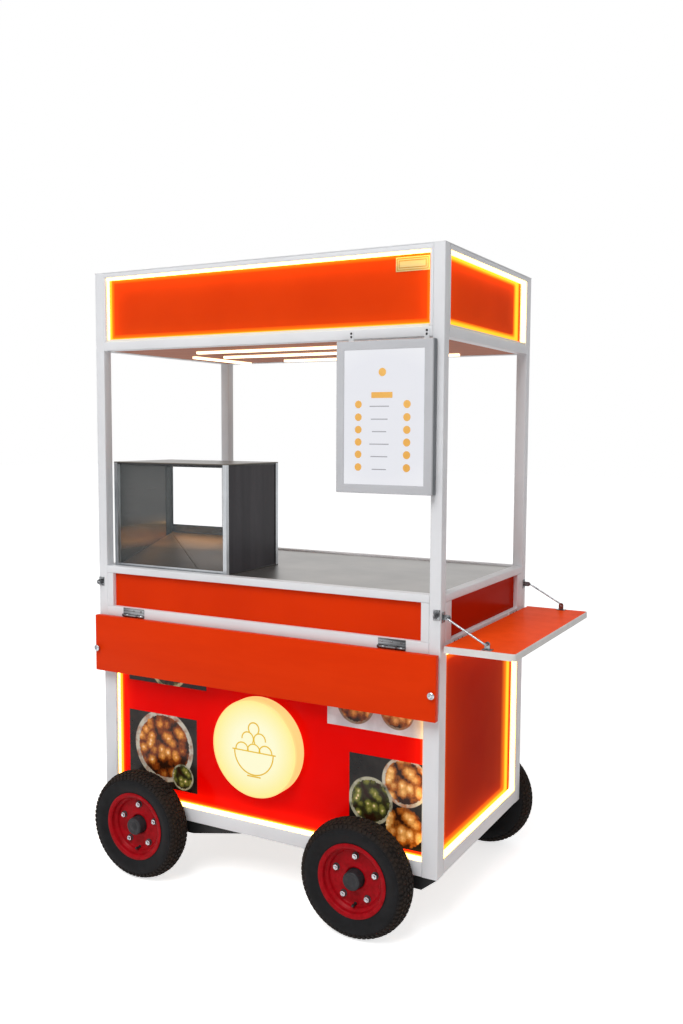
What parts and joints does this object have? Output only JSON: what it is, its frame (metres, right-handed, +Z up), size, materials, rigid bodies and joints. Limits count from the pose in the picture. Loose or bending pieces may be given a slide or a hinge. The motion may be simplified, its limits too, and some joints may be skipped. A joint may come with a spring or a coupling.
{
  "type": "pani puri cart",
  "caption": "Street-food cart on red-rimmed wheels with a lit header, steel counter, display case, folding side shelf, hanging front flap and sliding-door cabinet.",
  "frame": {"origin": "on the floor, under the middle of the overall outline with the shelf raised", "axes": "+Z up, -Y towards the customer, +X towards the folding side shelf"},
  "size_m": [1.513, 0.941, 2.051],
  "materials": {
    "frame_white": "satin white powder coat",
    "roof_white": "satin white powder coat",
    "panel_orange": "glossy orange sheet",
    "panel_red": "glossy printed red sheet",
    "leaf_orange": "orange laminate on board",
    "edging_white": "satin",
    "led_diffuser": "translucent diffuser",
    "ceiling_brown": "satin",
    "driver_case": "satin",
    "counter_steel": "brushed",
    "door_white": "white laminate on board",
    "floor_board": "sealed plywood",
    "track_aluminium": "satin",
    "hinge_steel": "bright",
    "fitting_chrome": "polished",
    "menu_white": "satin",
    "menu_lit": "lit, glossy",
    "hook_white": "satin",
    "sign_ivory": "lit, glossy",
    "case_steel": "brushed",
    "case_aluminium": "satin",
    "case_glass": "clear",
    "smoked_glass": "dark tinted",
    "beam_black": "satin black",
    "spindle_steel": "turned",
    "tyre_black": "matte",
    "rim_red": "gloss",
    "hub_black": "satin"
  },
  "bodies": {
    "cart": {"lower_posts": "frame_white", "lower_rails": "frame_white", "upper_posts": "frame_white", "counter_rails": "frame_white", "band_stiles": "frame_white", "header_rails": "frame_white", "header_stiles": "frame_white", "roof_sheet": "roof_white", "ceiling_panel": "ceiling_brown", "ceiling_lights": "led_diffuser", "led_driver": "driver_case", "header_long_panels": "panel_orange", "header_side_panels": "panel_orange", "header_led_strips": "led_diffuser", "band_long_panels": "panel_orange", "band_side_panels": "panel_orange", "countertop": "counter_steel", "lower_front_panel": "panel_red", "lower_side_panels": "panel_orange", "lower_led_strips": "led_diffuser", "cabinet_floor": "floor_board", "door_tracks": "track_aluminium", "drop_leaf_hinges": "hinge_steel", "stay_brackets": "fitting_chrome", "menu_case": "menu_white", "menu_screen": "menu_lit", "menu_hooks": "hook_white", "sign_drum": "sign_ivory", "sign_face": "sign_ivory", "case_body": "case_steel", "case_top": "case_steel", "case_posts": "case_aluminium", "case_front_glass": "case_glass", "case_side_glass": "smoked_glass", "axle_beams": "beam_black", "spindles": "spindle_steel"},
    "flap": {"front_flap": "leaf_orange", "flap_leaves": "hinge_steel", "flap_knobs": "fitting_chrome"},
    "shelf": {"side_shelf": "leaf_orange", "shelf_edging": "edging_white", "shelf_leaves": "hinge_steel", "shelf_eyes": "fitting_chrome"},
    "front_stay_rod": {"front_stay": "fitting_chrome"},
    "rear_stay_rod": {"rear_stay": "fitting_chrome"},
    "left_door": {"rear_door_left": "door_white"},
    "right_door": {"rear_door_right": "door_white"},
    "front_left_wheel": {"front_left_tyre": "tyre_black", "front_left_rim": "rim_red", "front_left_hub": "hub_black"},
    "front_right_wheel": {"front_right_tyre": "tyre_black", "front_right_rim": "rim_red", "front_right_hub": "hub_black"},
    "rear_left_wheel": {"rear_left_tyre": "tyre_black", "rear_left_rim": "rim_red", "rear_left_hub": "hub_black"},
    "rear_right_wheel": {"rear_right_tyre": "tyre_black", "rear_right_rim": "rim_red", "rear_right_hub": "hub_black"}
  },
  "joints": [
    {"name": "flap_hinge", "type": "hinge", "parent": "cart", "child": "flap", "pos_m": [-0.1125, -0.387, 0.887], "axis": [-1, 0, 0], "range_deg": [0, 90]},
    {"name": "shelf_hinge", "type": "hinge", "parent": "cart", "child": "shelf", "pos_m": [0.5365, 0, 0.887], "axis": [0, 1, 0], "range_deg": [0, 90]},
    {"name": "front_stay_pivot", "type": "hinge", "parent": "cart", "child": "front_stay_rod", "pos_m": [0.5475, -0.364, 0.988], "axis": [0, 1, 0], "range_deg": [0, 52.6]},
    {"name": "rear_stay_pivot", "type": "hinge", "parent": "cart", "child": "rear_stay_rod", "pos_m": [0.5475, 0.364, 0.988], "axis": [0, 1, 0], "range_deg": [0, 52.6]},
    {"name": "left_door_slide", "type": "slide", "parent": "cart", "child": "left_door", "axis": [1, 0, 0], "range_m": [0, 0.56]},
    {"name": "right_door_slide", "type": "slide", "parent": "cart", "child": "right_door", "axis": [-1, 0, 0], "range_m": [0, 0.56]},
    {"name": "front_left_spin", "type": "hinge", "parent": "cart", "child": "front_left_wheel", "pos_m": [-0.5455, -0.428, 0.183], "axis": [0, 1, 0], "continuous": true},
    {"name": "front_right_spin", "type": "hinge", "parent": "cart", "child": "front_right_wheel", "pos_m": [0.2885, -0.428, 0.183], "axis": [0, 1, 0], "continuous": true},
    {"name": "rear_left_spin", "type": "hinge", "parent": "cart", "child": "rear_left_wheel", "pos_m": [-0.5455, 0.428, 0.183], "axis": [0, 1, 0], "continuous": true},
    {"name": "rear_right_spin", "type": "hinge", "parent": "cart", "child": "rear_right_wheel", "pos_m": [0.3745, 0.428, 0.183], "axis": [0, 1, 0], "continuous": true}
  ],
  "couplings": [
    {"joint": "front_stay_pivot", "follows": "shelf_hinge", "ratio": 0.584},
    {"joint": "rear_stay_pivot", "follows": "shelf_hinge", "ratio": 0.584}
  ]
}
